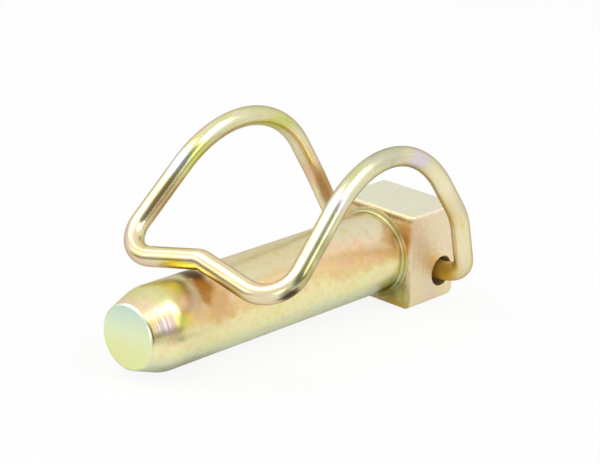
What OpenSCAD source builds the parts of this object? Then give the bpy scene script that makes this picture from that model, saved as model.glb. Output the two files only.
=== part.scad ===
// Lynch pin for tubes and shafts: a turned pin with a square head, and a round-wire
// bail that swings in a cross hole through the head and closes over the shank.
// Millimetres. The shank's axis is +X, pointing to the tip, and +Z is up. The origin
// lies on the shank's axis, in the plane of the head's shoulder.

/* [Shank] */
// Diameter of the shank
shank_d = 10; // [6:0.5:11]
// Length of the shank, from the head's shoulder to the end of the tip
shank_l = 42; // [38:1:60]
// Length of the tapered tip
tip_l = 3.7; // [1:0.1:6]
// How much smaller the tip's flat end is than the shank, on the diameter
tip_reduction = 2.3; // [0.4:0.1:4]
// Width of the small chamfer round the tip's flat end
tip_rim = 0.2; // [0.1:0.05:0.5]
// Radius of the fillet at the shank's root
root_fillet = 0.3; // [0.2:0.05:1]

/* [Head] */
// Width and height of the square head
head_w = 12; // [12:0.5:20]
// Length of the head along the shank's axis
head_l = 9.8; // [8:0.2:16]
// Radius of the head's edges along the sides and round the shoulder
head_edge = 0.5; // [0.2:0.1:1.5]
// Radius of the head's edges round its back face
back_edge = 1.4; // [0.2:0.1:1.5]
// Height of the thin turned ring round the shank's root
ring_h = 0.15; // [0.1:0.05:1]
// How far the turned ring stands out past the shank
ring_step = 0.7; // [0.3:0.05:0.9]

/* [Cross hole] */
// Clearance of the wire in the cross hole, on the diameter
hole_play = 1.4; // [0.9:0.1:1.6]
// Distance from the head's back face to the axis of the cross hole
hole_from_back = 3.2; // [2.4:0.1:4]
// Distance of the cross hole's axis below the shank's axis
hole_drop = 2.4; // [0:0.1:3]
// Width of the small countersink at each mouth of the hole
hole_rim = 0.1; // [0.05:0.05:0.3]

/* [Bail wire] */
// Diameter of the wire
wire_d = 2.4; // [1.6:0.1:2.8]
// Gap between the two ends of the wire inside the cross hole
end_gap = 1.5; // [0.5:0.5:4]
// Share of the hole's play that the bail takes up by sitting askew about Z
skew_share = 0.5; // [0:0.05:0.6]

/* [Bail legs] */
// Gap between the head's side and a leg, where the leg leaves its foot
leg_gap = 2.1; // [1.8:0.1:5]
// How far the heel bend lies ahead of the hinge
heel_reach = 5; // [2:0.1:8]
// Height of the heel bend above the hinge
heel_rise = 9.5; // [8:0.1:12]
// How far the heel bend lies outside the leg's foot
heel_spread = 1.6; // [0:0.1:4]
// How far the top bend of the arch lies ahead of the hinge
arch_reach = 18.8; // [16:0.1:24]
// Height of the top bend of the arch above the hinge
arch_rise = 26.9; // [25:0.1:34]
// How far the top bend lies outside the leg's foot
arch_spread = 0.8; // [0:0.1:4]

/* [Crossbar] */
// How far the crossbar's corners lie ahead of the hinge
corner_reach = 40.5; // [36:0.1:44]
// How far the crossbar's corners lie outside the leg's foot
corner_spread = 2.6; // [0:0.1:5]
// How far the crossbar's corners lie ahead of its middle
corner_lead = 0.7; // [0:0.1:4]
// How much lower the crossbar's corners lie than its middle
corner_drop = 2.5; // [0:0.1:4]
// Gap between the closed crossbar and the shank
seat_gap = 0.85; // [0.3:0.05:2]

/* [Bend radii, to the wire's centreline] */
// Bend where a leg turns up out of the cross hole
foot_r = 4; // [3:0.1:4.5]
// Bend between the foot and the arch
heel_r = 14.5; // [3:0.5:20]
// Bend at the top of the arch
arch_r = 15; // [8:0.5:16]
// Bend at the crossbar's corners
corner_r = 3.9; // [2.5:0.1:6]
// Bend in the middle of the crossbar
middle_r = 2.5; // [2.5:0.5:12]

/* [Hidden] */
$fn = 64;

// How much thinner the wire is in its bends, and how far a straight runs into a bend
bend_draw = 0.02;
lap = 0.1;

shank_r = shank_d / 2;
tip_r = shank_r - tip_reduction / 2;
ring_r = shank_r + ring_step;
wire_r = wire_d / 2;
hole_d = wire_d + hole_play;
bail_skew = atan(skew_share * hole_play / head_w);

// The middle of the cross hole: the bail turns about the axis of the wire here.
hinge = [hole_from_back - head_l, 0, -hole_drop];

// The rest is one half of the bail's centreline, from the wire's end in the hole to the
// middle of the crossbar, as seen from the hinge and before the bail is set askew.
leg_y = head_w / 2 + leg_gap + wire_r;
corner_y = leg_y + corner_spread;
middle_x = corner_reach - corner_lead;

// The crossbar's flanks fall by this angle to the corners. The skew carries the middle
// of the crossbar sideways, so it is raised by what its flank falls over that shift.
flank_fall = atan(corner_drop / corner_y);
middle_shift = middle_x * sin(bail_skew);
middle_z = hole_drop + (shank_r + seat_gap + wire_r) / cos(flank_fall)
    + middle_shift * tan(flank_fall);

HALF = [
    [0, end_gap / 2, 0],
    [0, leg_y, 0],
    [heel_reach, leg_y + heel_spread, heel_rise],
    [arch_reach, leg_y + arch_spread, arch_rise],
    [corner_reach, corner_y, middle_z - corner_drop],
    [middle_x, 0, middle_z]
];
HALF_RADII = [0, foot_r, heel_r, arch_r, corner_r, middle_r];

// The same points mirrored, so that one list runs from one end of the wire to the other
LAST = len(HALF) - 1;
PATH = concat(HALF, [for (i = [LAST - 1:-1:0]) [HALF[i].x, -HALF[i].y, HALF[i].z]]);
RADII = concat(HALF_RADII, [for (i = [LAST - 1:-1:0]) HALF_RADII[i]]);

function unit(v) = v / norm(v);

// Angle by which the path p turns at point i
function turn(p, i) = acos(unit(p[i] - p[i - 1]) * unit(p[i + 1] - p[i]));

// Length that the bend at point i takes from the straight on each side of it
function setback(p, r, i) =
    i == 0 || i == len(p) - 1 ? 0 : r[i] * tan(turn(p, i) / 2);

// Draws its children in the frame with these axes and this origin.
module in_frame(x_axis, y_axis, z_axis, origin) {
    multmatrix([
        [x_axis.x, y_axis.x, z_axis.x, origin.x],
        [x_axis.y, y_axis.y, z_axis.y, origin.y],
        [x_axis.z, y_axis.z, z_axis.z, origin.z]
    ]) children();
}

// One straight of the wire, from point i to point i + 1, less the bends at its ends.
// It runs a little way into each bend, so that the two overlap.
module wire_straight(p, r, i, d) {
    along = unit(p[i + 1] - p[i]);
    side = unit(cross(along, abs(along.z) < 0.9 ? [0, 0, 1] : [0, 1, 0]));
    start = i == 0 ? 0 : setback(p, r, i) - lap;
    end = i == len(p) - 2 ? 0 : setback(p, r, i + 1) - lap;
    in_frame(side, cross(along, side), along, p[i] + along * start)
        cylinder(h = norm(p[i + 1] - p[i]) - start - end, d = d);
}

// The bend of the wire at point i: part of a torus in the plane of its two straights.
// Bending draws the wire a little thinner, so the torus ends inside the straights.
module wire_bend(p, r, i, d) {
    from = unit(p[i] - p[i - 1]);
    to = unit(p[i + 1] - p[i]);
    inward = unit(to - from * (to * from));
    start = p[i] - from * setback(p, r, i);
    in_frame(-inward, from, cross(-inward, from), start + inward * r[i])
        rotate_extrude(angle = turn(p, i))
            translate([r[i], 0])
                circle(d = d - bend_draw);
}

// A round wire along the points p, bent to the radii r.
module bent_wire(p, r, d) {
    for (i = [0:len(p) - 2])
        wire_straight(p, r, i, d);
    for (i = [1:len(p) - 2])
        wire_bend(p, r, i, d);
}

// A rectangle from x0 to x1 and w high, with corners of radius r0 at x0 and r1 at x1:
// an octagon whose short sides are filled out by circles.
module rounded_rectangle(x0, x1, w, r0, r1) {
    h = w / 2;
    polygon([
        [x0 + r0, -h], [x1 - r1, -h], [x1, r1 - h], [x1, h - r1],
        [x1 - r1, h], [x0 + r0, h], [x0, h - r0], [x0, r0 - h]
    ]);
    for (s = [-1, 1]) {
        translate([x0 + r0, s * (h - r0)]) circle(r0);
        translate([x1 - r1, s * (h - r1)]) circle(r1);
    }
}

// The square head: three rounded bars that cross, so that all twelve edges are round.
module head_block() {
    over = 2;
    intersection() {
        translate([-head_l - over, 0, 0])
            rotate([0, 90, 0])
                linear_extrude(head_l + 2 * over)
                    rounded_rectangle(-head_w / 2, head_w / 2, head_w, head_edge, head_edge);
        linear_extrude(head_w + 2 * over, center = true)
            rounded_rectangle(-head_l, 0, head_w, back_edge, head_edge);
        rotate([90, 0, 0])
            linear_extrude(head_w + 2 * over, center = true)
                rounded_rectangle(-head_l, 0, head_w, back_edge, head_edge);
    }
}

// Half section of all that is turned, with the axis upright: the ring at the shoulder,
// the root fillet, the shank, the tapered tip and its rim.
module turned_profile() {
    polygon([
        [0, -head_l / 2],
        [ring_r, -head_l / 2],
        [ring_r, ring_h],
        [shank_r, ring_h],
        [shank_r, shank_l - tip_l],
        [tip_r, shank_l - tip_rim],
        [tip_r - tip_rim, shank_l],
        [0, shank_l]
    ]);
    difference() {
        translate([shank_r - lap, ring_h - lap])
            square(root_fillet + lap);
        translate([shank_r + root_fillet, ring_h + root_fillet])
            circle(root_fillet);
    }
}

// The cross hole, as a tool to cut with, and its countersinks in both sides of the head.
module cross_hole() {
    rotate([90, 0, 0])
        cylinder(h = head_w + 2, d = hole_d, center = true);
    for (s = [-1, 1])
        rotate([-90 * s, 0, 0])
            translate([0, 0, head_w / 2 - hole_rim])
                cylinder(h = 2 * hole_rim, d1 = hole_d, d2 = hole_d + 4 * hole_rim);
}

module pin_body() {
    color("darkkhaki")
        difference() {
            union() {
                rotate([0, 90, 0]) rotate_extrude() turned_profile();
                head_block();
            }
            translate(hinge) cross_hole();
        }
}

module wire_bail() {
    color("khaki")
        translate(hinge)
            rotate([0, 0, bail_skew])
                bent_wire(PATH, RADII, wire_d);
}

pin_body();
wire_bail();
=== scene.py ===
"""The looks of a lynch pin: a plated pin with a square head, and a round-wire bail.

Both pieces are steel with a yellow chromate passivation over zinc. Sizes are in millimetres in
the classes below, and become metres where a mesh is made. The pin's axis is +X, pointing to the
tip, and +Z is up. The origin lies on that axis, in the plane of the head's shoulder.
"""

import logging
import math
from dataclasses import dataclass
from enum import Enum

import bpy
import numpy as np
from mathutils import Matrix, Vector


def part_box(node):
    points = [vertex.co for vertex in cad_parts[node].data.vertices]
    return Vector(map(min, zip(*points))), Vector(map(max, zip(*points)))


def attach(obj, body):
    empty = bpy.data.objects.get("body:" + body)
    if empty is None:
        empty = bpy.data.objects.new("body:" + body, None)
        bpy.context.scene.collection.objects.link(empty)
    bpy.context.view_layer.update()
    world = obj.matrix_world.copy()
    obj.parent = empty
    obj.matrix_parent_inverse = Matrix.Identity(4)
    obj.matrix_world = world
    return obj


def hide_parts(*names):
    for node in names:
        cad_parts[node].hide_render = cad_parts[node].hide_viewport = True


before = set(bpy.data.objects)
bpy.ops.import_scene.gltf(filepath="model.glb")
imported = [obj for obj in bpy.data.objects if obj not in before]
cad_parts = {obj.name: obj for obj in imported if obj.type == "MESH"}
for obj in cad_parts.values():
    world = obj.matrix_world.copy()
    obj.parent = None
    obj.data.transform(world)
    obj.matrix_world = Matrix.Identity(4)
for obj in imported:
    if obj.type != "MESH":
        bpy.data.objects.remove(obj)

MM = 0.001
LOG = logging.getLogger("lynch_pin")

Tree = bpy.types.NodeTree
Socket = bpy.types.NodeSocket


# ---------------------------------------------------------------------------------------------
# Lines and surfaces
# ---------------------------------------------------------------------------------------------


class Ends(Enum):
    """How the first and the last row of a surface are closed."""

    POLES = "each of the two rows is a single point"
    RING = "the last row joins the first one"


# Samples of a line that lie closer together than this are one sample.
SAME_MM = 1e-9


@dataclass
class Track:
    """A smooth line, sampled closely: one row of each array for each sample.

    Attributes:
        points: Positions.
        tangents: Unit vectors along the line.
        normals: Unit vectors across the line, carried along it without any twist.
        lengths: Distance along the line from its first point.
    """

    points: np.ndarray
    tangents: np.ndarray
    normals: np.ndarray
    lengths: np.ndarray


def unit(vector: np.ndarray) -> np.ndarray:
    """Returns the vector, or each row of vectors, at length 1."""
    return vector / np.linalg.norm(vector, axis=-1, keepdims=True)


def rounded_track(
    corners: np.ndarray,
    radii: list[float],
    first_normal: np.ndarray,
    turn_step: float = math.radians(3.0),
    straight_step: float = 0.5,
) -> Track:
    """Samples a line of straights whose corners are rounded by arcs.

    At a corner where the line turns by an angle, an arc of radius r takes r * tan(angle / 2)
    from both straights. A point on the arc, at the turn t from its start, is
    start + r * sin(t) * (old direction) + r * (1 - cos(t)) * (inward direction). The normal turns
    with the line: its part along the inward direction tips over, and its part across the
    plane of the arc stays.

    Args:
        corners: The corner points, one row each, in two or three dimensions.
        radii: The radius at each corner; those at the two ends aren't used.
        first_normal: A unit vector across the first straight.
        turn_step: The largest turn between two samples on an arc, in radians.
        straight_step: The largest distance between two samples on a straight.

    Returns:
        The sampled line.
    """
    heading = unit(np.diff(corners, axis=0))
    points, tangents, normals = [], [], []
    normal = first_normal
    start = corners[0]
    for index in range(len(heading)):
        last = index == len(heading) - 1
        old = heading[index]
        angle = 0.0 if last else math.acos(float(np.clip(old @ heading[index + 1], -1.0, 1.0)))
        setback = 0.0 if last else radii[index + 1] * math.tan(angle / 2)
        stop = corners[index + 1] - old * setback
        count = max(2, math.ceil(float(np.linalg.norm(stop - start)) / straight_step) + 1)
        share = np.linspace(0.0, 1.0, count)[:, None]
        points.append(start + (stop - start) * share)
        tangents.append(np.repeat(old[None], count, axis=0))
        normals.append(np.repeat(normal[None], count, axis=0))
        start = stop
        if last or angle == 0.0:
            continue
        inward = unit(heading[index + 1] - old * (old @ heading[index + 1]))
        count = max(3, math.ceil(angle / turn_step) + 1)
        turned = np.linspace(0.0, angle, count)[1:, None]
        radius = radii[index + 1]
        leaning = float(normal @ inward)
        steady = normal - leaning * inward
        points.append(stop + radius * (np.sin(turned) * old + (1 - np.cos(turned)) * inward))
        tangents.append(np.cos(turned) * old + np.sin(turned) * inward)
        normals.append(steady + leaning * (np.cos(turned) * inward - np.sin(turned) * old))
        start, normal = points[-1][-1], normals[-1][-1]
    line = np.concatenate(points)
    steps = np.linalg.norm(np.diff(line, axis=0), axis=1)
    keep = np.concatenate([[True], steps > SAME_MM])
    lengths = np.concatenate([[0.0], np.cumsum(steps)])
    return Track(line[keep], np.concatenate(tangents)[keep], np.concatenate(normals)[keep],
                 lengths[keep])


def surface(
    name: str,
    points: np.ndarray,
    normals: np.ndarray,
    lengths: np.ndarray,
    widths: np.ndarray,
    ends: Ends,
) -> bpy.types.Object:
    """Makes a closed mesh from a grid of points whose rows run round.

    The face between two rows and two columns joins the four points there. Its corners keep the
    order that makes most faces agree with the normals. At a pole the faces are triangles that
    share one point.

    Args:
        name: The object's name.
        points: Grid of positions in mm, shaped (rows, columns, 3).
        normals: Grid of outward unit vectors of the same shape.
        lengths: Distance along the piece at each row, in mm, for the UV map's second axis.
        widths: Distance round the piece at each column and once more at its end, in mm.
        ends: How the first and last row are closed.

    Returns:
        The object, linked to the scene, with smooth shading and the given normals.
    """
    rows, columns = points.shape[:2]
    index = np.arange(rows * columns).reshape(rows, columns)
    if ends is Ends.POLES:
        index[0], index[-1] = index[0, 0], index[-1, 0]
        below, above = np.arange(rows - 1), np.arange(1, rows)
    else:
        below, above = np.arange(rows), np.roll(np.arange(rows), -1)
    left = np.arange(columns)
    right = np.roll(left, -1)
    quads = np.stack([index[below][:, left], index[below][:, right],
                      index[above][:, right], index[above][:, left]], axis=-1).reshape(-1, 4)
    row_of = np.repeat(np.arange(len(below)), columns)
    column_of = np.tile(left, len(below))
    corner_rows = np.stack([row_of, row_of, row_of + 1, row_of + 1], axis=-1)
    corner_columns = np.stack([column_of, column_of + 1, column_of + 1, column_of], axis=-1)
    v_of_row = lengths if ends is Ends.POLES else np.append(
        lengths, lengths[-1] + np.linalg.norm(points[0, 0] - points[-1, 0]))
    uv = np.stack([widths[corner_columns], v_of_row[corner_rows]], axis=-1) * MM

    flat = points.reshape(-1, 3)
    flat_normals = normals.reshape(-1, 3)
    facing = np.cross(flat[quads[:, 2]] - flat[quads[:, 0]], flat[quads[:, 3]] - flat[quads[:, 1]])
    if np.sum(facing * flat_normals[quads].mean(axis=1)) < 0:
        quads, uv = quads[:, ::-1], uv[:, ::-1]

    keep = np.ones(quads.shape, dtype=bool)
    if ends is Ends.POLES:
        keep &= quads != np.roll(quads, 1, axis=1)
    used, renumbered = np.unique(quads[keep], return_inverse=True)
    sizes = keep.sum(axis=1)

    mesh = bpy.data.meshes.new(name)
    mesh.vertices.add(len(used))
    mesh.vertices.foreach_set("co", (flat[used] * MM).ravel())
    mesh.loops.add(len(renumbered))
    mesh.loops.foreach_set("vertex_index", renumbered.ravel().astype(np.int32))
    mesh.polygons.add(len(sizes))
    starts = np.concatenate([[0], np.cumsum(sizes)[:-1]])
    mesh.polygons.foreach_set("loop_start", starts.astype(np.int32))
    mesh.update(calc_edges=True)
    mesh.uv_layers.new(name="along").data.foreach_set("uv", uv[keep].ravel())
    mesh.polygons.foreach_set("use_smooth", np.ones(len(sizes), dtype=bool))
    mesh.validate()
    mesh.normals_split_custom_set_from_vertices(unit(flat_normals[used]))
    piece = bpy.data.objects.new(name, mesh)
    bpy.context.scene.collection.objects.link(piece)
    return piece


# ---------------------------------------------------------------------------------------------
# Finishes
# ---------------------------------------------------------------------------------------------

# The Mix node's colour sockets have the same names as its number sockets, so they go by place.
MIX_A, MIX_B, MIX_COLOUR = 6, 7, 2
WHITE = (1.0, 1.0, 1.0, 1.0)


def linear(colour: str) -> tuple[float, float, float, float]:
    """Turns an sRGB hex colour, such as "#d8c98f", into a linear RGBA colour."""
    def one(value: float) -> float:
        """Turns one sRGB channel from 0 to 1 into a linear one."""
        return value / 12.92 if value <= 0.04045 else ((value + 0.055) / 1.055) ** 2.4

    channels = [int(colour[i:i + 2], 16) / 255 for i in (1, 3, 5)]
    return (one(channels[0]), one(channels[1]), one(channels[2]), 1.0)


class Film(Enum):
    """Colours of the chromate film, and of painted shade and light, as sRGB hex values."""

    LEMON = "#ebe7ae"
    GOLD = "#e3c488"
    AMBER = "#cf9c55"
    ROSE = "#ebc4a2"
    BLUSH = "#fee4c8"
    LILAC = "#e6dae2"
    ICE = "#e2eaf0"
    YELLOW = "#efd64c"
    LIME = "#d2d470"
    CREAM = "#f8eec8"
    SAGE = "#dcd6b4"
    MOSS = "#cfd096"
    PEWTER = "#b6baa2"
    OLIVE = "#a39a54"
    FERN = "#8c8636"
    HONEY = "#dcb450"
    BROWN = "#a8702c"
    UMBER = "#4d3417"


@dataclass(frozen=True)
class Spot:
    """A place where the film differs or shade or light is painted: a soft ellipsoid, ragged edge.

    Attributes:
        centre_mm: Its centre.
        reach_mm: How far it reaches from there along X, Y and Z.
        film: The colour there, the film's own or painted shade or light.
        share: How much of that colour shows at its heart.
    """

    centre_mm: tuple[float, float, float]
    reach_mm: tuple[float, float, float]
    film: Film
    share: float


def add(
    tree: Tree,
    kind: str,
    settings: dict[str | int, object] | None = None,
    links: dict[str | int, Socket] | None = None,
) -> bpy.types.Node:
    """Adds a node, sets it up and links its inputs.

    Args:
        tree: The node tree.
        kind: The node's type name.
        settings: Values of inputs, by the input's name or place, and attributes of the node.
            The key "stops" holds a colour ramp's places with their film or hex colours.
        links: Sockets, by the name or place of the input that each feeds.

    Returns:
        The node.
    """
    made = tree.nodes.new(kind)
    for key, value in (settings or {}).items():
        if key == "stops":
            elements = made.color_ramp.elements
            while len(elements) < len(value):
                elements.new(0.5)
            for element, (place, colour) in zip(elements, value):
                element.position = place
                element.color = linear(colour.value if isinstance(colour, Film) else colour)
        elif isinstance(key, int) or key in made.inputs:
            made.inputs[key].default_value = value
        else:
            setattr(made, key, value)
    for key, socket in (links or {}).items():
        tree.links.new(socket, made.inputs[key])
    return made


def blank(name: str) -> tuple[bpy.types.Material, Tree]:
    """Makes a material with an empty node tree and returns both."""
    made = bpy.data.materials.new(name)
    made.use_nodes = True
    made.node_tree.nodes.clear()
    return made, made.node_tree


@dataclass(frozen=True)
class Passivation:
    """Zinc plate under a yellow chromate passivation, on steel.

    The chromate film is a few hundred nanometres thick, and its thickness wanders over the
    surface. Each thickness has its own interference colour, so a bright straw-gold metal shows
    soft patches of pink, pale green and yellow, with small flecks among them.

    Attributes:
        name: The material's name.
        patch_mm: Size of the wide patches of one film colour.
        fleck_mm: Size of the small flecks.
        patch_share: How much the wide patches change the film.
        fleck_share: How much the flecks change the film.
        grain_mm: Size of the fine grain of the plated surface.
        grain_depth_mm: Depth of that grain.
        roughness: Roughness of the plated surface.
        tint_mm: Size of the small yellow and pink tints.
        tint_share: How strong those tints are.
        edge_film: Colour of the reflection where the surface turns away from the eye.
        spots: Film colours and painted shade and light, in places, laid in this order.
        ragged_mm: Size of the ragged bits at a spot's edge.
        ragged_share: How far these move the edge, as a share of the spot's reach.
        fade: Where a spot starts to fade and where it is gone, as shares of its reach.
    """

    name: str
    patch_mm: float
    fleck_mm: float
    patch_share: float
    fleck_share: float
    grain_mm: float
    grain_depth_mm: float
    roughness: float
    tint_mm: float
    tint_share: float
    edge_film: str
    spots: tuple[Spot, ...] = ()
    ragged_mm: float = 1.1
    ragged_share: float = 0.8
    fade: tuple[float, float] = (0.4, 1.3)

    def mottle(self, tree: Tree, place: Socket, level: Socket) -> Socket:
        """Lets the film's thickness wander about a level.

        The result is level + patch_share * (patches - 0.5) + fleck_share * (flecks - 0.5).

        Args:
            tree: The node tree.
            place: The position that the patterns follow, in metres.
            level: The film's thickness before it wanders, from 0 to 1.

        Returns:
            The thickness, from about 0 to 1.
        """
        value = level
        for size, share, detail in ((self.patch_mm, self.patch_share, 1.5),
                                    (self.fleck_mm, self.fleck_share, 3.0)):
            noise = add(tree, "ShaderNodeTexNoise", {
                "Scale": 1 / (size * MM), "Detail": detail, "Roughness": 0.6}, {"Vector": place})
            swing = add(tree, "ShaderNodeMath", {"operation": "MULTIPLY_ADD", 1: share,
                                                 2: -0.5 * share}, {0: noise.outputs["Fac"]})
            value = add(tree, "ShaderNodeMath", {"operation": "ADD"},
                        {0: value, 1: swing.outputs["Value"]}).outputs["Value"]
        return value

    def spotted(self, tree: Tree, place: Socket, colour: Socket) -> Socket:
        """Lays the spots over a colour.

        A spot fades out as |(place - centre) / reach| + ragged_share * (noise - 0.5) goes from
        the first share of fade to the second.

        Args:
            tree: The node tree.
            place: The position, in metres.
            colour: The colour below.

        Returns:
            The colour.
        """
        ragged = add(tree, "ShaderNodeTexNoise", {
            "Scale": 1 / (self.ragged_mm * MM), "Detail": 3.0, "Roughness": 0.6},
            {"Vector": place})
        start, stop = (share + self.ragged_share / 2 for share in self.fade)
        for spot in self.spots:
            off = add(tree, "ShaderNodeVectorMath", {
                "operation": "SUBTRACT", 1: [value * MM for value in spot.centre_mm]},
                {0: place})
            even = add(tree, "ShaderNodeVectorMath", {
                "operation": "DIVIDE", 1: [value * MM for value in spot.reach_mm]},
                {0: off.outputs["Vector"]})
            far = add(tree, "ShaderNodeVectorMath", {"operation": "LENGTH"},
                      {0: even.outputs["Vector"]})
            edge = add(tree, "ShaderNodeMath", {
                "operation": "MULTIPLY_ADD", 1: self.ragged_share},
                {0: ragged.outputs["Fac"], 2: far.outputs["Value"]})
            on = add(tree, "ShaderNodeMapRange", {
                "interpolation_type": "SMOOTHSTEP", "From Min": start, "From Max": stop,
                "To Min": spot.share, "To Max": 0.0}, {"Value": edge.outputs["Value"]})
            colour = add(tree, "ShaderNodeMix", {
                "data_type": "RGBA", MIX_B: linear(spot.film.value)},
                {"Factor": on.outputs["Result"], MIX_A: colour}).outputs[MIX_COLOUR]
        return colour

    def tinted(self, tree: Tree, place: Socket, colour: Socket) -> Socket:
        """Multiplies a colour by small tints, yellow where a noise is low and pink where high.

        Args:
            tree: The node tree.
            place: The position that the tints follow, in metres.
            colour: The colour below.

        Returns:
            The colour.
        """
        noise = add(tree, "ShaderNodeTexNoise", {
            "Scale": 1 / (self.tint_mm * MM), "Detail": 2.0, "Roughness": 0.65},
            {"Vector": place})
        tints = add(tree, "ShaderNodeValToRGB", {"stops": [
            (0.28, "#f7efb0"), (0.47, "#ffffff"), (0.53, "#ffffff"), (0.72, "#ffdfea")]},
            {"Fac": noise.outputs["Fac"]})
        return add(tree, "ShaderNodeMix", {
            "data_type": "RGBA", "blend_type": "MULTIPLY", 0: self.tint_share},
            {MIX_A: colour, MIX_B: tints.outputs["Color"]}).outputs[MIX_COLOUR]

    def changed(self, tree: Tree, along: Socket, span_mm: tuple[float, float], thickness: Socket,
                stops: list[tuple[float, str]], colour: Socket) -> Socket:
        """Changes a colour to a face's own films over a short span of an axis.

        Args:
            tree: The node tree.
            along: The position on the axis, in metres.
            span_mm: Where the change starts and where it is done.
            thickness: The film's thickness.
            stops: The face's films, each with its thickness.
            colour: The colour before the change.

        Returns:
            The colour.
        """
        start, stop = span_mm
        on = add(tree, "ShaderNodeMapRange", {"From Min": start * MM, "From Max": stop * MM},
                 {"Value": along})
        films = add(tree, "ShaderNodeValToRGB", {"stops": stops}, {"Fac": thickness})
        return add(tree, "ShaderNodeMix", {"data_type": "RGBA"}, {
            "Factor": on.outputs["Result"], MIX_A: colour,
            MIX_B: films.outputs["Color"]}).outputs[MIX_COLOUR]

    def grain(self, tree: Tree, place: Socket, strength: float = 1.0) -> bpy.types.Node:
        """Adds the fine grain of the plated surface as a bump.

        Args:
            tree: The node tree.
            place: The position that the grain follows, in metres.
            strength: How much of the grain's depth shows.

        Returns:
            The bump node.
        """
        noise = add(tree, "ShaderNodeTexNoise", {
            "Scale": 1 / (self.grain_mm * MM), "Detail": 2.0}, {"Vector": place})
        return add(tree, "ShaderNodeBump", {
            "Strength": strength, "Distance": self.grain_depth_mm * MM},
            {"Height": noise.outputs["Fac"]})

    def metal(self, tree: Tree, inputs: dict[str, Socket]) -> None:
        """Ends the tree with the plated metal.

        Args:
            tree: The node tree.
            inputs: Sockets, by the name of the shader's input that each feeds.
        """
        shader = add(tree, "ShaderNodeBsdfPrincipled", {
            "Metallic": 1.0, "Roughness": self.roughness,
            "Specular Tint": linear(self.edge_film)}, inputs)
        add(tree, "ShaderNodeOutputMaterial", links={"Surface": shader.outputs["BSDF"]})


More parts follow.
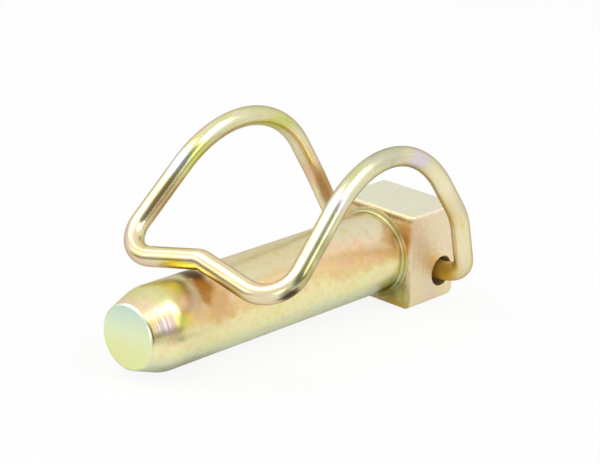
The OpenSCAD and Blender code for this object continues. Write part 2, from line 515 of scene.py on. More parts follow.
@dataclass(frozen=True)
class TurnedZinc(Passivation):
    """The passivated zinc on what was turned on a lathe.

    The tool's feed leaves fine lines round the axis. They are coarser on the taper, which was
    cut in one plunge. The colour runs by height from pale green at the bottom over yellow and
    gold to beige on top. This is painted reflection: the bands that the round shank mirrors.
    The flat end has its own pale green film.

    Attributes:
        feed_mm: Distance between the fine turning lines.
        feed_depth_mm: Their depth.
        chatter_mm: Distance between the coarse lines on the taper.
        chatter_depth_mm: Their depth.
        taper_from_mm: Where the taper starts, on X.
        run_in_mm: Over what distance the lines reach their depth.
        end_mm: Where the flat end lies, on X.
        end_film_mm: How far before it the end's own film starts, and is whole.
        radius_mm: The shank's radius.
        lengthened: Size of the patches across the shank, as a share of that along it.
    """

    feed_mm: float = 0.16
    feed_depth_mm: float = 0.0025
    chatter_mm: float = 0.5
    chatter_depth_mm: float = 0.012
    taper_from_mm: float = 38.3
    run_in_mm: float = 0.6
    end_mm: float = 42.0
    end_film_mm: tuple[float, float] = (0.3, 0.05)
    radius_mm: float = 5.0
    lengthened: float = 0.6
    spots: tuple[Spot, ...] = (
        # Painted shade: darker on the shoulder's ring and under the shank beside the head.
        Spot((0.3, 0.0, 0.0), (0.5, 9.0, 9.0), Film.OLIVE, 0.6),
        Spot((1.0, 2.8, -4.3), (2.5, 2.5, 2.1), Film.FERN, 0.95),
        Spot((20.5, 1.5, 4.6), (6.5, 3.5, 1.8), Film.HONEY, 0.2),
        Spot((37.9, -0.5, 4.2), (2.8, 4.5, 2.0), Film.LIME, 0.5),
        # Painted shadow and reflection of the crossbar on the shank beneath it: amber, brown, a
        # dark umber line.
        Spot((32.0, 2.6, 3.4), (2.8, 3.8, 3.2), Film.AMBER, 0.7),
        Spot((32.5, 2.1, 4.5), (1.4, 2.2, 1.5), Film.BROWN, 1.0),
        Spot((33.3, 3.4, 3.6), (0.9, 1.2, 1.2), Film.BROWN, 0.75),
        Spot((32.0, -0.4, 5.0), (1.4, 2.4, 0.9), Film.UMBER, 1.0),
        Spot((35.0, 4.5, 2.4), (1.9, 1.0, 1.3), Film.GOLD, 0.7),
        Spot((36.9, 4.4, 2.5), (0.9, 1.0, 1.1), Film.YELLOW, 0.55),
        # Painted shade: the shank's lower side near the tip, darkened for the contact shadow it
        # reflects.
        Spot((36.0, 3.4, -4.0), (5.0, 3.0, 1.7), Film.PEWTER, 0.75),
        # Painted highlight: pale film where the crossbar's reflection darkens the shank.
        Spot((35.5, 1.3, 4.8), (1.5, 1.4, 0.9), Film.LEMON, 0.9),
        Spot((35.9, 3.3, 3.7), (1.2, 1.3, 1.2), Film.BLUSH, 1.0),
        Spot((38.0, 4.4, 2.2), (1.0, 0.9, 1.1), Film.LIME, 0.9),
        Spot((40.6, 2.2, 3.2), (1.1, 1.2, 1.0), Film.ROSE, 0.4),
        Spot((40.0, 3.9, 2.0), (1.4, 1.0, 1.0), Film.LILAC, 0.7),
        Spot((41.9, 3.4, 1.4), (0.35, 1.0, 2.2), Film.UMBER, 0.8),
        Spot((41.9, 3.6, -2.0), (0.35, 1.0, 1.8), Film.LILAC, 0.8),
    )

    def build(self) -> bpy.types.Material:
        """Builds the material and returns it."""
        made, tree = blank(self.name)
        place = add(tree, "ShaderNodeTexCoord").outputs["Object"]
        axes = add(tree, "ShaderNodeSeparateXYZ", links={"Vector": place}).outputs
        # Painted reflection: the film's colour follows height, standing in for the bands the shank
        # mirrors.
        height = add(tree, "ShaderNodeMapRange", {
            "From Min": -self.radius_mm * MM, "From Max": self.radius_mm * MM},
            {"Value": axes["Z"]})
        long_way = add(tree, "ShaderNodeMapping", {"Scale": (self.lengthened, 1.0, 1.0)},
                       {"Vector": place})
        thickness = self.mottle(tree, long_way.outputs["Vector"], height.outputs["Result"])
        colour = add(tree, "ShaderNodeValToRGB", {"stops": [
            (0.08, "#dce2d0"), (0.22, "#e8f0d2"), (0.40, "#f4f0bc"), (0.55, "#f4eab4"),
            (0.65, "#ecd294"), (0.76, "#eccb9c"), (0.86, "#e6d0ae"), (0.96, Film.SAGE)]},
            {"Fac": thickness}).outputs["Color"]
        colour = self.spotted(tree, place, self.tinted(tree, place, colour))
        start, stop = (self.end_mm - before for before in self.end_film_mm)
        colour = self.changed(tree, axes["X"], (start, stop), thickness, [
            (0.35, "#e8edae"), (0.55, "#e8f2c6"), (0.80, "#d8eedc")], colour)

        bump = self.grain(tree, place, 0.6)
        for pitch, depth, start in ((self.feed_mm, self.feed_depth_mm, -1.0),
                                    (self.chatter_mm, self.chatter_depth_mm,
                                     self.taper_from_mm)):
            on = add(tree, "ShaderNodeMapRange", {
                "From Min": start * MM, "From Max": (start + self.run_in_mm) * MM},
                {"Value": axes["X"]})
            count = add(tree, "ShaderNodeMath", {"operation": "MULTIPLY", 1: 1 / (pitch * MM)},
                        {0: axes["X"]})
            lines = add(tree, "ShaderNodeTexNoise", {
                "noise_dimensions": "1D", "Scale": 1.0, "Detail": 1.0},
                {"W": count.outputs["Value"]})
            bump = add(tree, "ShaderNodeBump", {"Distance": depth * MM}, {
                "Strength": on.outputs["Result"], "Height": lines.outputs["Fac"],
                "Normal": bump.outputs["Normal"]})
        self.metal(tree, {"Base Color": colour, "Normal": bump.outputs["Normal"]})
        return made


@dataclass(frozen=True)
class BlockZinc(Passivation):
    """The passivated zinc on the square head, which was forged and then blasted clean.

    Each face took its own film: beige-pink on the sides, grey-green on top, amber round the
    shank. All are a little rough, as a blasted surface is.

    Attributes:
        half_mm: Half the head's width.
        face_film_mm: How far before a face its own film starts, and is whole.
    """

    half_mm: float = 6.0
    face_film_mm: tuple[float, float] = (0.35, 0.05)
    spots: tuple[Spot, ...] = (
        Spot((0.0, 4.8, 3.2), (0.7, 1.3, 2.2), Film.AMBER, 0.7),
        Spot((0.0, 5.0, 3.0), (0.7, 0.7, 0.9), Film.BROWN, 0.4),
        Spot((0.0, 0.5, 5.4), (0.5, 6.5, 0.3), Film.UMBER, 0.5),
        # Painted shade of the shank on the front face's lower part: olive and umber, with honey
        # and lime beside.
        Spot((0.0, 5.6, -5.0), (0.7, 4.0, 3.5), Film.OLIVE, 0.7),
        Spot((0.0, 3.4, -4.8), (0.7, 0.9, 0.9), Film.UMBER, 0.3),
        Spot((0.0, 4.4, -5.4), (0.7, 1.6, 0.8), Film.HONEY, 0.5),
        Spot((0.0, 5.1, -4.4), (0.7, 0.8, 1.0), Film.LIME, 0.5),
        Spot((-8.0, 6.0, -4.5), (3.0, 0.6, 2.0), Film.LEMON, 0.5),
        Spot((-5.0, 6.0, 3.5), (2.5, 0.6, 1.5), Film.LEMON, 0.25),
    )

    def build(self) -> bpy.types.Material:
        """Builds the material and returns it."""
        made, tree = blank(self.name)
        place = add(tree, "ShaderNodeTexCoord").outputs["Object"]
        axes = add(tree, "ShaderNodeSeparateXYZ", links={"Vector": place}).outputs
        level = add(tree, "ShaderNodeValue").outputs["Value"]
        level.default_value = 0.5
        thickness = self.mottle(tree, place, level)
        colour = add(tree, "ShaderNodeValToRGB", {"stops": [
            (0.30, "#f0e8b8"), (0.44, "#f0e2c0"), (0.56, "#eedcc4"), (0.68, "#f0dcd0")]},
            {"Fac": thickness}).outputs["Color"]
        for axis, face, stops in (
                ("Z", self.half_mm, [(0.35, "#d8dcc4"), (0.65, "#dcd4be")]),
                ("X", 0.0, [(0.35, "#e8cca8"), (0.5, "#dec898"), (0.65, "#d2b47c")])):
            start, stop = (face - before for before in self.face_film_mm)
            colour = self.changed(tree, axes[axis], (start, stop), thickness, stops, colour)
        colour = self.spotted(tree, place, self.tinted(tree, place, colour))
        bump = self.grain(tree, place)
        self.metal(tree, {"Base Color": colour, "Normal": bump.outputs["Normal"]})
        return made


@dataclass(frozen=True)
class DrawnZinc(Passivation):
    """The passivated zinc on the wire, which was drawn through a die.

    Drawing leaves the surface smooth, so it mirrors its surroundings in long streaks. The
    film's patches are long and narrow, and its thickness falls from the hinge to the crossbar.
    The wire is dull beside and in the cross hole, where it rubs.

    Attributes:
        stretch: How much longer the patches are than wide.
        foot_roughness: Roughness where the wire rubs.
        foot_y_mm: Distance from the middle plane at which the rubbed part starts and is whole.
        foot_x_mm: The same along X.
        reach_mm: How far the bail reaches from the hinge, on X.
        hinge_mm: Where the hinge lies, on X.
        levels: The film's thickness at the hinge and at the crossbar, from 0 to 1.
    """

    stretch: float = 7.0
    foot_roughness: float = 0.6
    foot_y_mm: tuple[float, float] = (10.2, 8.0)
    foot_x_mm: tuple[float, float] = (0.0, -3.0)
    reach_mm: float = 40.5
    hinge_mm: float = -6.6
    levels: tuple[float, float] = (0.66, 0.36)
    spots: tuple[Spot, ...] = (
        Spot((4.0, 12.0, 12.0), (4.0, 1.8, 5.5), Film.CREAM, 0.7),
        Spot((-3.0, 11.0, 3.5), (3.0, 2.2, 4.5), Film.CREAM, 0.6),
        # Painted light: a bright honey film on the foot inside the hole, which the hole shades.
        Spot((-5.5, 6.2, -2.4), (3.0, 2.9, 2.5), Film.HONEY, 1.0),
        Spot((-4.6, 8.8, -0.6), (1.3, 1.4, 2.0), Film.YELLOW, 0.6),
        Spot((1.0, 11.0, 7.0), (2.6, 1.2, 5.6), Film.HONEY, 0.5),
        # Painted shade: darker where the near arch's and near leg's highlight runs too wide.
        Spot((14.5, 12.4, 18.8), (4.0, 1.8, 1.6), Film.PEWTER, 0.55),
        Spot((20.3, 12.6, 17.6), (2.6, 1.0, 0.9), Film.MOSS, 0.8),
        Spot((8.1, 12.4, 16.9), (2.4, 1.6, 1.6), Film.LILAC, 0.9),
        Spot((23.6, 13.2, 15.3), (1.8, 1.2, 1.5), Film.LILAC, 0.8),
        # Painted reflection: olive and umber widen the dark streak along the near leg.
        Spot((26.8, 15.0, 11.4), (2.3, 0.9, 2.3), Film.OLIVE, 0.65),
        Spot((29.6, 15.2, 8.4), (2.3, 0.9, 2.3), Film.OLIVE, 0.6),
        Spot((31.7, 14.4, 6.4), (1.6, 0.9, 1.4), Film.UMBER, 0.75),
        Spot((11.0, -9.2, 18.4), (5.0, 2.0, 1.2), Film.MOSS, 0.5),
        Spot((9.5, -8.6, 15.9), (5.0, 1.2, 1.8), Film.LIME, 0.8),
        Spot((24.0, -8.0, 15.0), (3.2, 0.9, 2.4), Film.LIME, 0.9),
        Spot((25.7, -9.0, 14.8), (2.6, 0.9, 1.8), Film.ICE, 0.8),
        Spot((28.6, -8.4, 11.2), (3.4, 1.0, 3.2), Film.BROWN, 0.5),
        Spot((1.2, -10.0, 6.5), (1.8, 1.0, 5.0), Film.ROSE, 0.8),
        Spot((-1.2, -9.2, 5.6), (2.6, 0.7, 4.0), Film.BROWN, 0.6),
        # Painted shade: a dark line along the underside of the crossbar's near flank.
        Spot((33.4, 5.0, 5.7), (1.3, 3.6, 0.7), Film.UMBER, 0.8),
        Spot((34.2, 4.6, 6.8), (1.5, 2.6, 1.2), Film.GOLD, 0.8),
        Spot((34.5, 0.6, 6.7), (1.3, 3.4, 0.9), Film.YELLOW, 0.95),
    )

    def build(self) -> bpy.types.Material:
        """Builds the material and returns it."""
        made, tree = blank(self.name)
        source = add(tree, "ShaderNodeTexCoord").outputs
        along = add(tree, "ShaderNodeMapping", {"Scale": (1.0, 1 / self.stretch, 1.0)},
                    {"Vector": source["UV"]}).outputs["Vector"]
        axes = add(tree, "ShaderNodeSeparateXYZ", links={"Vector": source["Object"]}).outputs
        level = add(tree, "ShaderNodeMapRange", {
            "From Min": self.hinge_mm * MM, "From Max": (self.hinge_mm + self.reach_mm) * MM,
            "To Min": self.levels[0], "To Max": self.levels[1]}, {"Value": axes["X"]})
        thickness = self.mottle(tree, along, level.outputs["Result"])
        colour = add(tree, "ShaderNodeValToRGB", {"stops": [
            (0.12, Film.LILAC), (0.26, "#e8cfba"), (0.36, "#e8d8b0"), (0.46, "#dfe0b6"),
            (0.58, "#e6e0be"), (0.70, "#f0dfb0"), (0.82, "#ecd09e"), (0.94, Film.AMBER)]},
            {"Fac": thickness}).outputs["Color"]
        colour = self.spotted(tree, source["Object"], self.tinted(tree, along, colour))

        from_middle = add(tree, "ShaderNodeMath", {"operation": "ABSOLUTE"}, {0: axes["Y"]})
        rubbed = [add(tree, "ShaderNodeMapRange", {
            "From Min": start * MM, "From Max": stop * MM}, {"Value": value}).outputs["Result"]
            for value, (start, stop) in ((from_middle.outputs["Value"], self.foot_y_mm),
                                         (axes["X"], self.foot_x_mm))]
        foot = add(tree, "ShaderNodeMath", {"operation": "MULTIPLY"},
                   {0: rubbed[0], 1: rubbed[1]})
        rough = add(tree, "ShaderNodeMapRange", {
            "To Min": self.roughness, "To Max": self.foot_roughness},
            {"Value": foot.outputs["Value"]})
        self.metal(tree, {"Roughness": rough.outputs["Result"], "Base Color": colour,
                          "Normal": self.grain(tree, along).outputs["Normal"]})
        return made


# ---------------------------------------------------------------------------------------------
# Pieces
# ---------------------------------------------------------------------------------------------


@dataclass
class Outline:
    """A stretch of the head's outline in the XZ plane.

    The flat side face ends on a smaller outline, and a rounded edge runs between the two.

    Attributes:
        points: The outline, as rows of (x, z).
        normals: Its outward normals.
        inner: The smaller outline.
        depth: How deep the edge between the two goes along Y, as one column.
    """

    points: np.ndarray
    normals: np.ndarray
    inner: np.ndarray
    depth: np.ndarray


@dataclass
class PinBody:
    """The pin: a turned shank with a tapered tip, and a square head with a cross hole.

    Attributes hold the sizes in mm. Those down to hole_rim are named as on the pin's drawing.
    The others are the radii of the small edges of what is turned, the bend where the taper
    starts, the least width of the flat face round the hole's rim, and the turned faces' count.
    """

    shank_d: float = 10.0
    shank_l: float = 42.0
    tip_l: float = 3.7
    tip_reduction: float = 2.3
    tip_rim: float = 0.2
    root_fillet: float = 0.3
    ring_h: float = 0.15
    ring_step: float = 0.7
    head_w: float = 12.0
    head_l: float = 9.8
    head_edge: float = 0.5
    back_edge: float = 1.4
    hole_d: float = 3.8
    hole_from_back: float = 3.2
    hole_drop: float = 2.4
    hole_rim: float = 0.1
    buried_edge: float = 0.1
    ring_edge: float = 0.08
    taper_bend: float = 4.5
    tip_edge: float = 0.12
    rim_land: float = 0.06
    sides: int = 192

    def hole_centre(self) -> np.ndarray:
        """Returns the cross hole's centre as (x, z)."""
        return np.array([self.hole_from_back - self.head_l, -self.hole_drop])

    def turned(self) -> bpy.types.Object:
        """Builds what is turned: the ring, the root fillet, the shank, the taper and the tip.

        The outline is a rounded line in the plane through the axis. Each of its points goes
        round the axis: (x, r * cos(turn), r * sin(turn)).

        Returns:
            The object.
        """
        shank_r = self.shank_d / 2
        tip_r = shank_r - self.tip_reduction / 2
        ring_r = shank_r + self.ring_step
        buried = -2 * self.head_edge
        corners = np.array([
            [buried, 0.0], [buried, ring_r], [self.ring_h, ring_r], [self.ring_h, shank_r],
            [self.shank_l - self.tip_l, shank_r], [self.shank_l - self.tip_rim, tip_r],
            [self.shank_l, tip_r - self.tip_rim], [self.shank_l, 0.0]])
        radii = [0.0, self.buried_edge, self.ring_edge, self.root_fillet, self.taper_bend,
                 self.tip_edge, self.tip_edge, 0.0]
        outline = rounded_track(corners, radii, np.array([-1.0, 0.0]), math.radians(9.0))
        turn = np.linspace(0.0, 2 * math.pi, self.sides, endpoint=False)

        def spin(line: np.ndarray) -> np.ndarray:
            """Takes each (x, r) round the axis."""
            return np.stack([np.repeat(line[:, :1], self.sides, axis=1),
                             line[:, 1:] * np.cos(turn), line[:, 1:] * np.sin(turn)], axis=-1)

        widths = np.append(turn, 2 * math.pi) * shank_r
        return surface("turned_shank", spin(outline.points), spin(outline.normals),
                       outline.lengths, widths, Ends.POLES)

    def arcs(self) -> list[Outline]:
        """Works out the arcs at the outline's corners, from the lower front one upwards.

        The smaller outline runs from the arc's middle straight up or down by
        (radius - head_edge) times the height of the arc's normal, and the edge's depth is the
        radius less that.

        Returns:
            The four arcs.
        """
        half = self.head_w / 2
        arcs = []
        for x, z, radius, first in (
                (0.0, -half, self.head_edge, -90.0), (0.0, half, self.head_edge, 0.0),
                (-self.head_l, half, self.back_edge, 90.0),
                (-self.head_l, -half, self.back_edge, 180.0)):
            angle = np.radians(np.linspace(first, first + 90.0, 13))
            way = np.stack([np.cos(angle), np.sin(angle)], axis=-1)
            middle = np.array([x, z]) - radius * np.sign(np.array([x + self.head_l / 2, z]))
            spare = (radius - self.head_edge) * way[:, 1:]
            arcs.append(Outline(middle + radius * way, way,
                                middle + np.concatenate([0 * spare, spare], axis=1),
                                radius - np.abs(spare)))
        return arcs

    def straight(self, before: Outline, after: Outline) -> Outline:
        """Works out the straight between two arcs.

        Its points lie on rays at even angles from the cross hole's centre, so that the hole's
        rim, which shares those rays, is evenly divided. The smaller outline lies deeper by the
        radius of the edge. Beside the hole that is held back, where it would take more of a ray
        than a circle just outside the hole's rim leaves.

        Args:
            before: The arc before it.
            after: The arc after it.

        Returns:
            The straight, without its two ends.
        """
        centre = self.hole_centre()
        clear = self.hole_d / 2 + self.hole_rim + self.rim_land
        start, stop = before.points[-1] - centre, after.points[0] - centre
        angle = np.arctan2([start[1], stop[1]], [start[0], stop[0]])
        sweep = (angle[1] - angle[0]) % (2 * math.pi)
        count = max(4, math.ceil(sweep / math.radians(3.0)))
        rays = angle[0] + sweep * np.arange(1, count) / count
        ray = np.stack([np.cos(rays), np.sin(rays)], axis=-1)
        out = before.normals[-1]
        reach = start @ out
        points = centre + ray * (reach / (ray @ out))[:, None]
        at_back = out[0] < -0.5
        edge = np.minimum(self.back_edge if at_back else self.head_edge,
                          reach - clear * (ray @ out))[:, None]
        return Outline(points, np.repeat(out[None], count - 1, axis=0), points - out * edge, edge)

    def side_outline(self) -> Outline:
        """Joins the arcs and the straights.

        Returns:
            The head's whole outline.
        """
        arcs = self.arcs()
        parts = []
        for before, after in zip(arcs, arcs[1:] + arcs[:1]):
            parts += [before, self.straight(before, after)]
        return Outline(*(np.concatenate([getattr(part, name) for part in parts])
                         for name in ("points", "normals", "inner", "depth")))

    def head(self) -> bpy.types.Object:
        """Builds the head and its cross hole as one ring-shaped surface.

        The rows go out from the hole's rim over the near side face, round that face's edge by
        a quarter turn, straight across to the far side, round its edge, in over the far side
        face to the hole, and back through the hole. On the quarter turn at the angle t, a point
        is outline + (smaller outline - outline) * (1 - cos(t)), at the place
        half - depth * (1 - sin(t)) on Y. On a side face it lies between the smaller outline and
        the hole's rim, in proportion.

        Returns:
            The object.
        """
        outline = self.side_outline()
        line, way = outline.points, outline.normals
        half = self.head_w / 2
        centre = self.hole_centre()
        spoke = unit(line - centre)
        hole_r = self.hole_d / 2

        def row(flat: np.ndarray, y: np.ndarray | float, flat_normal: np.ndarray,
                side_normal: float) -> tuple[np.ndarray, np.ndarray]:
            """Lifts an outline in the XZ plane to the places y, with its normals."""
            same = np.zeros(len(flat))
            return (np.stack([flat[:, 0], y + same, flat[:, 1]], axis=-1),
                    np.stack([flat_normal[:, 0], side_normal + same, flat_normal[:, 1]],
                             axis=-1))

        near = []
        for turn in np.radians(np.linspace(90.0, 0.0, 9)):
            sine, cosine = math.sin(turn), math.cos(turn)
            near.append(row(line + (outline.inner - line) * (1 - cosine),
                            half - outline.depth[:, 0] * (1 - sine), way * cosine, sine))
        rim = []
        for turn in np.radians(np.linspace(0.0, 90.0, 5)):
            sine, cosine = math.sin(turn), math.cos(turn)
            rim.append(row(centre + spoke * (hole_r + self.hole_rim * (1 - cosine)),
                           half - self.hole_rim * (1 - sine), -spoke * cosine, sine))
        inset, mouth = near[0][0][:, ::2], rim[-1][0][:, ::2]
        face = [row(mouth + (inset - mouth) * share, half, 0 * way, 1.0)
                for share in np.linspace(0.0, 1.0, 9)[1:-1]]
        side = rim + face + near
        across = [row(line, y, way, 0.0) for y in np.linspace(half, -half, 15)[2:-2]]
        flip = np.array([1.0, -1.0, 1.0])
        far = [(points * flip, normals * flip) for points, normals in reversed(side)]
        bore = [row(centre + spoke * hole_r, y, -spoke, 0.0)
                for y in np.linspace(-half, half, 13)[1:-1]]
        rows = side + across + far + bore
        points = np.stack([points for points, _ in rows])
        normals = np.stack([normals for _, normals in rows])
        # No finish of the head follows its UV map, so even steps of about the right size do.
        lengths, widths = np.arange(len(rows)) * 0.5, np.arange(len(line) + 1) * 0.4
        return surface("square_head", points, normals, lengths, widths, Ends.RING)

    def build(self, turned: bpy.types.Material,
              block: bpy.types.Material) -> list[bpy.types.Object]:
        """Builds and dresses the pin's pieces.

        Args:
            turned: The finish of what is turned.
            block: The finish of the head.

        Returns:
            The pieces.
        """
        pieces = [self.turned(), self.head()]
        for piece, finish in zip(pieces, (turned, block)):
            piece.data.materials.append(finish)
            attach(piece, "pin")
            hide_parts("pin_body")
            LOG.info("%s: %d faces", piece.name, len(piece.data.polygons))
        return pieces


@dataclass
class WireBail:
    """The bail: one round wire, with both ends hooked into the head's cross hole.

    Attributes hold the sizes in mm. Those down to middle_r are named as on the pin's drawing.
    The others are how much thinner the wire's radius is drawn, so that it stays inside the
    drawing's outline, the rounding of the wire's two ends, and the count of faces round it.
    """

    head_w: float = 12.0
    head_l: float = 9.8
    shank_d: float = 10.0
    hole_play: float = 1.4
    hole_from_back: float = 3.2
    hole_drop: float = 2.4
    wire_d: float = 2.4
    end_gap: float = 1.5
    skew_share: float = 0.5
    leg_gap: float = 2.1
    heel_reach: float = 5.0
    heel_rise: float = 9.5
    heel_spread: float = 1.6
    arch_reach: float = 18.8
    arch_rise: float = 26.9
    arch_spread: float = 0.8
    corner_reach: float = 40.5
    corner_spread: float = 2.6
    corner_lead: float = 0.7
    corner_drop: float = 2.5
    seat_gap: float = 0.85
    foot_r: float = 4.0
    heel_r: float = 14.5
    arch_r: float = 15.0
    corner_r: float = 3.9
    middle_r: float = 2.5
    thinned: float = 0.015
    end_edge: float = 0.25
    sides: int = 40

    def centreline(self) -> Track:
        """Works out the wire's centreline, from one end in the hole to the other."""
        wire_r = self.wire_d / 2
        leg_y = self.head_w / 2 + self.leg_gap + wire_r
        corner_y = leg_y + self.corner_spread
        middle_x = self.corner_reach - self.corner_lead
        skew = math.atan(self.skew_share * self.hole_play / self.head_w)
        flank_fall = math.atan(self.corner_drop / corner_y)
        middle_z = (self.hole_drop
                    + (self.shank_d / 2 + self.seat_gap + wire_r) / math.cos(flank_fall)
                    + middle_x * math.sin(skew) * math.tan(flank_fall))
        half = np.array([
            [0.0, self.end_gap / 2, 0.0],
            [0.0, leg_y, 0.0],
            [self.heel_reach, leg_y + self.heel_spread, self.heel_rise],
            [self.arch_reach, leg_y + self.arch_spread, self.arch_rise],
            [self.corner_reach, corner_y, middle_z - self.corner_drop],
            [middle_x, 0.0, middle_z]])
        half_radii = [0.0, self.foot_r, self.heel_r, self.arch_r, self.corner_r, self.middle_r]
        corners = np.concatenate([half, half[-2::-1] * np.array([1.0, -1.0, 1.0])])
        cosine, sine = math.cos(skew), math.sin(skew)
        askew = np.array([[cosine, -sine, 0.0], [sine, cosine, 0.0], [0.0, 0.0, 1.0]])
        hinge = np.array([self.hole_from_back - self.head_l, 0.0, -self.hole_drop])
        return rounded_track(hinge + corners @ askew.T, half_radii + half_radii[-2::-1],
                             askew[:, 0], math.radians(2.5), 0.4)

    def wire(self) -> bpy.types.Object:
        """Builds the wire as a round profile carried along the centreline.

        A point at the angle t round the wire is centre + r * (cos(t) * normal + sin(t) * side),
        where side is across both the line and its normal. At each end the radius shrinks over a
        quarter turn to a small rounding, and then to nothing over a flat face.

        Returns:
            The object.
        """
        line = self.centreline()
        wire_r = self.wire_d / 2 - self.thinned
        turn = np.radians(np.linspace(0.0, 90.0, 6))
        on_flat = np.array([0.0, 0.4])
        cap_r = np.concatenate([on_flat * wire_r, wire_r - self.end_edge * (1 - np.sin(turn))])
        cap_shift = np.concatenate([0 * on_flat, self.end_edge * (1 - np.cos(turn))])
        cap_lean = np.concatenate([0 * on_flat, np.sin(turn)])
        count = len(cap_r)

        def end(index: int, sign: float) -> tuple[np.ndarray, np.ndarray, np.ndarray]:
            """Returns the centres, tangents and normals of one end's rows, outermost first."""
            tangent = line.tangents[index]
            return (line.points[index] + sign * tangent * cap_shift[:, None],
                    np.tile(tangent, (count, 1)), np.tile(line.normals[index], (count, 1)))

        body = ((line.lengths > self.end_edge)
                & (line.lengths < line.lengths[-1] - self.end_edge))
        centres, tangents, across = (
            np.concatenate([first, whole[body], last[::-1]]) for first, whole, last in zip(
                end(0, 1.0), (line.points, line.tangents, line.normals), end(-1, -1.0)))
        middle = int(body.sum())
        radius = np.concatenate([cap_r, np.full(middle, wire_r), cap_r[::-1]])
        lean = np.concatenate([cap_lean, np.ones(middle), cap_lean[::-1]])
        forward = np.concatenate([-np.ones(count), np.zeros(middle), np.ones(count)])
        lengths = np.concatenate([cap_shift, line.lengths[body],
                                  line.lengths[-1] - cap_shift[::-1]])
        side = np.cross(tangents, across)
        angle = np.linspace(0.0, 2 * math.pi, self.sides, endpoint=False)
        ring = (across[:, None] * np.cos(angle)[None, :, None]
                + side[:, None] * np.sin(angle)[None, :, None])
        points = centres[:, None] + ring * radius[:, None, None]
        normals = (ring * lean[:, None, None]
                   + tangents[:, None] * (forward * np.sqrt(1 - lean ** 2))[:, None, None])
        widths = np.linspace(0.0, 2 * math.pi * wire_r, self.sides + 1)
        return surface("bail_wire", points, normals, lengths, widths, Ends.POLES)

    def build(self, finish: bpy.types.Material) -> bpy.types.Object:
        """Builds and dresses the bail.

        Args:
            finish: The plated finish.

        Returns:
            The piece.
        """
        piece = self.wire()
        piece.data.materials.append(finish)
        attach(piece, "bail")
        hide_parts("wire_bail")
        LOG.info("%s: %d faces", piece.name, len(piece.data.polygons))
        return piece


# ---------------------------------------------------------------------------------------------
# Studio
# ---------------------------------------------------------------------------------------------


@dataclass(frozen=True)
class Panel:
    """A flat panel that hangs in the studio and faces the object.

    Attributes:
        name: The panel's name.
        azimuth: Direction to it from the object, from +X towards +Y, in degrees.
        elevation: Angle above the horizon, in degrees.
        wide: How wide it looks from the object, in degrees.
        high: How high it looks from the object, in degrees.
        level: How bright it looks, where 1 is white.
        distance: Distance from the object in mm.
        aim: The point that it faces, in mm.
    """

    name: str
    azimuth: float
    elevation: float
    wide: float
    high: float
    level: float
    distance: float = 600.0
    aim: tuple[float, float, float] = (15.0, 0.0, 5.0)

    def size(self) -> tuple[float, float]:
        """Returns the width and the height in metres."""
        return (2 * self.distance * MM * math.tan(math.radians(self.wide / 2)),
                2 * self.distance * MM * math.tan(math.radians(self.high / 2)))

    def placed(self) -> Matrix:
        """Works out where the panel stands and how it is turned, with -Z to the object."""
        turn, rise = math.radians(self.azimuth), math.radians(self.elevation)
        way = Vector((math.cos(turn) * math.cos(rise), math.sin(turn) * math.cos(rise),
                      math.sin(rise)))
        return (Matrix.Translation(Vector(self.aim) * MM + way * self.distance * MM)
                @ (-way).to_track_quat("-Z", "Y").to_matrix().to_4x4())


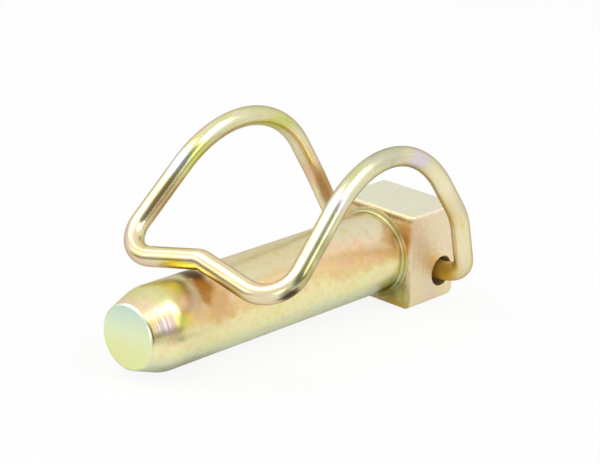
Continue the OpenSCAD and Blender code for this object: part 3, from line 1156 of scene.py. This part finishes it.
@dataclass
class Studio:
    """A plain pale floor, soft lights, dark cards and the camera.

    Attributes:
        eye: Where the camera is, in mm.
        target: The point that it looks at, in mm.
        roll: How far it is turned about its view, in degrees.
        lens: Its focal length in mm.
        sensor: Its sensor's width in mm.
        softboxes: The lights.
        flags: Dark cards that hang in the room.
        floor_cards_and_painted_shadow: Corners of dark cards on the floor, as (x, y) in mm.
        card_level: How bright those look, where 1 is white.
        card_lift: How high they lie above the floor, in mm.
        floor_reach: How far the floor reaches each way, in metres.
        floor_rise: The floor's rise along X, as a share. It goes from the height of the
            head's lower face at the shoulder to that of the shank's lower side where the
            taper starts, which is 1 mm higher and 38.3 mm further on.
        pale: The colour of the floor and of the room.
    """

    eye: tuple[float, float, float] = (204.5, 161.8, 95.6)
    target: tuple[float, float, float] = (14.23, 0.37, 5.97)
    roll: float = 3.43
    lens: float = 135.5
    sensor: float = 36.0
    softboxes: tuple[Panel, ...] = (
        Panel("softbox_right", 118.0, 55.0, 26.0, 36.0, 3.0),
        Panel("softbox_top", -25.0, 68.0, 34.0, 26.0, 2.2),
        Panel("softbox_left_high", -60.0, 48.0, 38.0, 22.0, 1.4),
        Panel("softbox_left_low", -42.0, 18.0, 44.0, 14.0, 1.4),
        Panel("softbox_front", 40.0, 12.0, 16.0, 24.0, 1.4),
        Panel("softbox_low", 101.0, 27.0, 14.0, 22.0, 1.6),
    )
    flags: tuple[Panel, ...] = (
        Panel("flag_right_high", 77.0, 42.0, 42.0, 40.0, 0.2),
        Panel("flag_right_low", 80.0, 11.0, 28.0, 26.0, 0.2),
        Panel("flag_horizon", 106.0, 7.0, 24.0, 15.0, 0.2),
    )
    floor_cards_and_painted_shadow: tuple[tuple[tuple[float, float], ...], ...] = (
        ((64.0, -8.0), (260.0, 0.0), (220.0, -200.0), (48.0, -52.0)),
        # Painted shadow: this card stands in for the pin's shadow on the floor, as the metal
        # reflects it.
        ((20.0, 18.0), (36.0, 17.0), (40.0, 48.0), (24.0, 48.0)),
    )
    card_level: float = 0.3
    card_lift: float = 0.05
    floor_reach: float = 3.0
    floor_rise: float = 1.0 / 38.3
    pale: str = "#f4f4f2"

    def camera(self) -> None:
        """Puts the camera at its place, looking at the target, a little rolled."""
        data = bpy.data.cameras.new("camera")
        data.lens = self.lens
        data.sensor_width = self.sensor
        data.clip_start = 0.01
        data.clip_end = 10.0
        camera = bpy.data.objects.new("camera", data)
        bpy.context.scene.collection.objects.link(camera)
        eye, target = Vector(self.eye) * MM, Vector(self.target) * MM
        aim = (target - eye).to_track_quat("-Z", "Y").to_matrix().to_4x4()
        camera.matrix_world = (Matrix.Translation(eye) @ aim
                               @ Matrix.Rotation(math.radians(self.roll), 4, "Z"))
        bpy.context.scene.camera = camera

    def white_seen(self, tree: Tree, camera_share: float, glossy_share: float) -> Socket:
        """Gives one share for camera rays, one for glossy rays, and nothing for the rest."""
        path = add(tree, "ShaderNodeLightPath").outputs
        seen = add(tree, "ShaderNodeMath", {"operation": "MULTIPLY", 1: camera_share},
                   {0: path["Is Camera Ray"]})
        return add(tree, "ShaderNodeMath", {"operation": "MULTIPLY_ADD", 1: glossy_share},
                   {0: path["Is Glossy Ray"], 2: seen.outputs["Value"]}).outputs["Value"]

    def sheet(self, name: str, corners: list[Vector]) -> bpy.types.Object:
        """Makes a flat sheet and links it to the scene.

        Args:
            name: The sheet's name.
            corners: Its four corners in metres.

        Returns:
            The sheet.
        """
        mesh = bpy.data.meshes.new(name)
        mesh.from_pydata([tuple(corner) for corner in corners], [], [(0, 1, 2, 3)])
        made = bpy.data.objects.new(name, mesh)
        bpy.context.scene.collection.objects.link(made)
        return made

    def on_floor(self, x: float, y: float) -> Vector:
        """Returns the floor's point at (x, y), in metres."""
        return Vector((x, y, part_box("pin_body")[0][2] + self.floor_rise * x))

    def floor(self) -> None:
        """Lays the pale floor under the pin."""
        far = self.floor_reach
        floor = self.sheet("floor", [self.on_floor(x, y) for x, y in (
            (-far, -far), (far, -far), (far, far), (-far, far))])
        made, tree = blank("pale_floor")
        diffuse = add(tree, "ShaderNodeBsdfDiffuse", {"Color": linear(self.pale)})
        glow = add(tree, "ShaderNodeEmission", {"Color": WHITE, "Strength": 1.0})
        mixed = add(tree, "ShaderNodeMixShader", links={
            "Fac": self.white_seen(tree, 0.88, 0.42), 1: diffuse.outputs["BSDF"],
            2: glow.outputs["Emission"]})
        add(tree, "ShaderNodeOutputMaterial", links={"Surface": mixed.outputs["Shader"]})
        floor.data.materials.append(made)

    def dark_card(self, name: str, corners: list[Vector], level: float) -> None:
        """Makes a card that only the metal's reflections show.

        Args:
            name: The card's name.
            corners: Its four corners in metres.
            level: How bright it looks, where 1 is white.
        """
        card = self.sheet(name, corners)
        made, tree = blank(name)
        glow = add(tree, "ShaderNodeEmission", {"Color": WHITE, "Strength": level})
        add(tree, "ShaderNodeOutputMaterial", links={"Surface": glow.outputs["Emission"]})
        card.data.materials.append(made)
        card.visible_camera = False
        card.visible_diffuse = False
        card.visible_shadow = False

    def lay_cards(self) -> None:
        """Lays dark cards before the crossbar and, as a painted shadow, beside it."""
        lift = Vector((0.0, 0.0, self.card_lift * MM))
        for number, corners in enumerate(self.floor_cards_and_painted_shadow):
            self.dark_card(f"card_on_floor_{number}", [
                self.on_floor(x * MM, y * MM) + lift for x, y in corners], self.card_level)

    def hang_softbox(self, panel: Panel) -> None:
        """Hangs a soft box, whose power makes it look as bright as its level."""
        data = bpy.data.lights.new(panel.name, "AREA")
        data.shape = "RECTANGLE"
        data.size, data.size_y = panel.size()
        data.energy = panel.level * math.pi * data.size * data.size_y
        lamp = bpy.data.objects.new(panel.name, data)
        bpy.context.scene.collection.objects.link(lamp)
        lamp.matrix_world = panel.placed()
        lamp.visible_camera = False

    def hang_flag(self, panel: Panel) -> None:
        """Hangs a dark card in the room."""
        x, y = (length / 2 for length in panel.size())
        self.dark_card(panel.name, [panel.placed() @ Vector((a, b, 0.0)) for a, b in (
            (-x, -y), (x, -y), (x, y), (-x, y))], panel.level)

    def world(self) -> None:
        """Sets a pale surrounding, white where the camera or the metal sees it."""
        made = bpy.data.worlds.new("studio")
        bpy.context.scene.world = made
        made.use_nodes = True
        tree = made.node_tree
        tree.nodes.clear()
        around = add(tree, "ShaderNodeBackground", {"Color": linear(self.pale), "Strength": 0.6})
        white = add(tree, "ShaderNodeBackground", {"Color": WHITE})
        mixed = add(tree, "ShaderNodeMixShader", links={
            "Fac": self.white_seen(tree, 1.0, 1.0), 1: around.outputs["Background"],
            2: white.outputs["Background"]})
        add(tree, "ShaderNodeOutputWorld", links={"Surface": mixed.outputs["Shader"]})

    def build(self) -> None:
        """Builds the whole studio."""
        self.camera()
        self.floor()
        for panel in self.softboxes:
            self.hang_softbox(panel)
        for panel in self.flags:
            self.hang_flag(panel)
        self.lay_cards()
        self.world()
        bpy.context.scene.view_settings.view_transform = "Standard"


def main() -> None:
    """Builds the object and the studio."""
    logging.basicConfig(level=logging.INFO, format="%(name)s: %(message)s")
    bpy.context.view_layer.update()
    turned = TurnedZinc("yellow_passivated_zinc_turned", patch_mm=6.0, fleck_mm=1.0,
                        patch_share=0.34, fleck_share=0.3, grain_mm=0.3,
                        grain_depth_mm=0.005, roughness=0.3, tint_mm=1.3, tint_share=0.6,
                        edge_film="#e6e2d2").build()
    block = BlockZinc("yellow_passivated_zinc_head", patch_mm=5.0, fleck_mm=0.5,
                      patch_share=0.5, fleck_share=0.5, grain_mm=0.45,
                      grain_depth_mm=0.08, roughness=0.48, tint_mm=0.7, tint_share=0.35,
                      edge_film="#ffffff").build()
    drawn = DrawnZinc("yellow_passivated_zinc_wire", patch_mm=2.4, fleck_mm=0.6,
                      patch_share=0.5, fleck_share=0.3, grain_mm=0.2,
                      grain_depth_mm=0.004, roughness=0.23, tint_mm=0.7, tint_share=0.8,
                      edge_film="#c0b8a8").build()
    PinBody().build(turned, block)
    WireBail().build(drawn)
    Studio().build()


if __name__ == "__main__":
    main()
